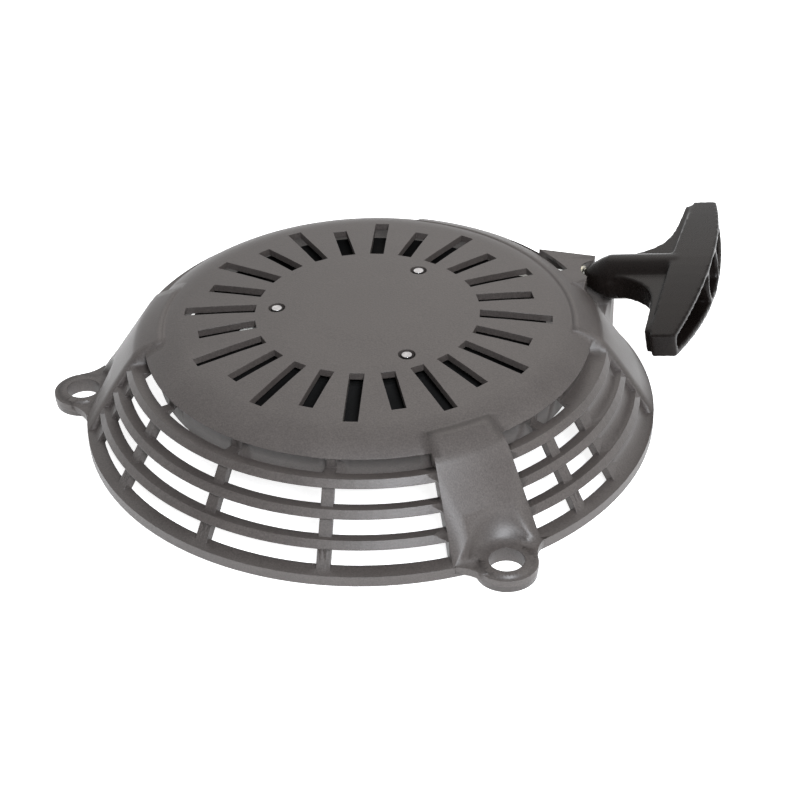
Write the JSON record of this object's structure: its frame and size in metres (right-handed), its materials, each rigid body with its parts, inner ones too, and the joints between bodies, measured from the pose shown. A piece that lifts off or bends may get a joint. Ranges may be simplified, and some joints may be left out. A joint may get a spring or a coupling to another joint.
{
  "type": "recoil starter",
  "caption": "Rope-pull recoil starter for a small vertical-shaft engine: slotted domed case with louvred side, three bolt ears and a T-shaped pull grip.",
  "frame": {"origin": "on the crankshaft axis, in the plane of the three bolt feet", "axes": "+Z away from the engine along the crankshaft axis, +X the way the rope leaves the case seen from above, +Y completes a right-handed frame"},
  "size_m": [0.2142, 0.1982, 0.0434],
  "materials": {
    "case_plastic": "matte, fine moulded grain",
    "grip_plastic": "satin",
    "reel_plastic": "matte",
    "steel": "rolled",
    "spring_steel": "oiled",
    "plated_steel": "zinc plated",
    "pawl_steel": "sintered",
    "rope": "braided"
  },
  "bodies": {
    "housing": {"case": "case_plastic", "rope_guide": "plated_steel", "spindle_plate": "steel", "centre_post": "steel", "recoil_spring": "spring_steel", "guide_collar": "steel", "friction_spring": "spring_steel", "friction_washer": "plated_steel", "centre_screw": "plated_steel", "rope_lead": "rope"},
    "reel": {"reel": "reel_plastic", "wound_rope": "rope", "reel_knot": "rope", "spring_cover": "steel", "pawl_spring_1": "spring_steel", "pawl_spring_2": "spring_steel"},
    "guide": {"ratchet_guide": "plated_steel"},
    "pawl_1": {"pawl_1": "pawl_steel"},
    "pawl_2": {"pawl_2": "pawl_steel"},
    "grip": {"grip": "grip_plastic", "grip_insert": "steel", "grip_knot": "rope", "rope_tail": "rope"}
  },
  "joints": [
    {"name": "reel_spin", "type": "hinge", "parent": "housing", "child": "reel", "pos_m": [0, 0, 0.025], "axis": [0, 0, -1], "range_deg": [0, 1440], "stiffness_Nm_per_rad": 0.02, "springref_deg": -458.37, "deforming": ["recoil_spring"]},
    {"name": "grip_pull", "type": "slide", "parent": "housing", "child": "grip", "axis": [0.9877, 0, 0.1564], "range_m": [0, 1.212]},
    {"name": "guide_turn", "type": "hinge", "parent": "reel", "child": "guide", "pos_m": [0, 0, 0.0132], "axis": [0, 0, 1], "range_deg": [0, 34]},
    {"name": "pawl_1_swing", "type": "hinge", "parent": "reel", "child": "pawl_1", "pos_m": [0.021, 0, 0.0165], "axis": [0, 0, 1], "range_deg": [0, 24.2], "stiffness_Nm_per_rad": 0.002, "springref_deg": -28.65},
    {"name": "pawl_2_swing", "type": "hinge", "parent": "reel", "child": "pawl_2", "pos_m": [-0.021, 0, 0.0165], "axis": [0, 0, 1], "range_deg": [0, 24.2], "stiffness_Nm_per_rad": 0.002, "springref_deg": -28.65}
  ],
  "couplings": [
    {"joint": "grip_pull", "follows": "reel_spin", "m_per_rad": 0.04815},
    {"joint": "pawl_1_swing", "follows": "guide_turn", "ratio": 0.70588},
    {"joint": "pawl_2_swing", "follows": "guide_turn", "ratio": 0.70588}
  ]
}
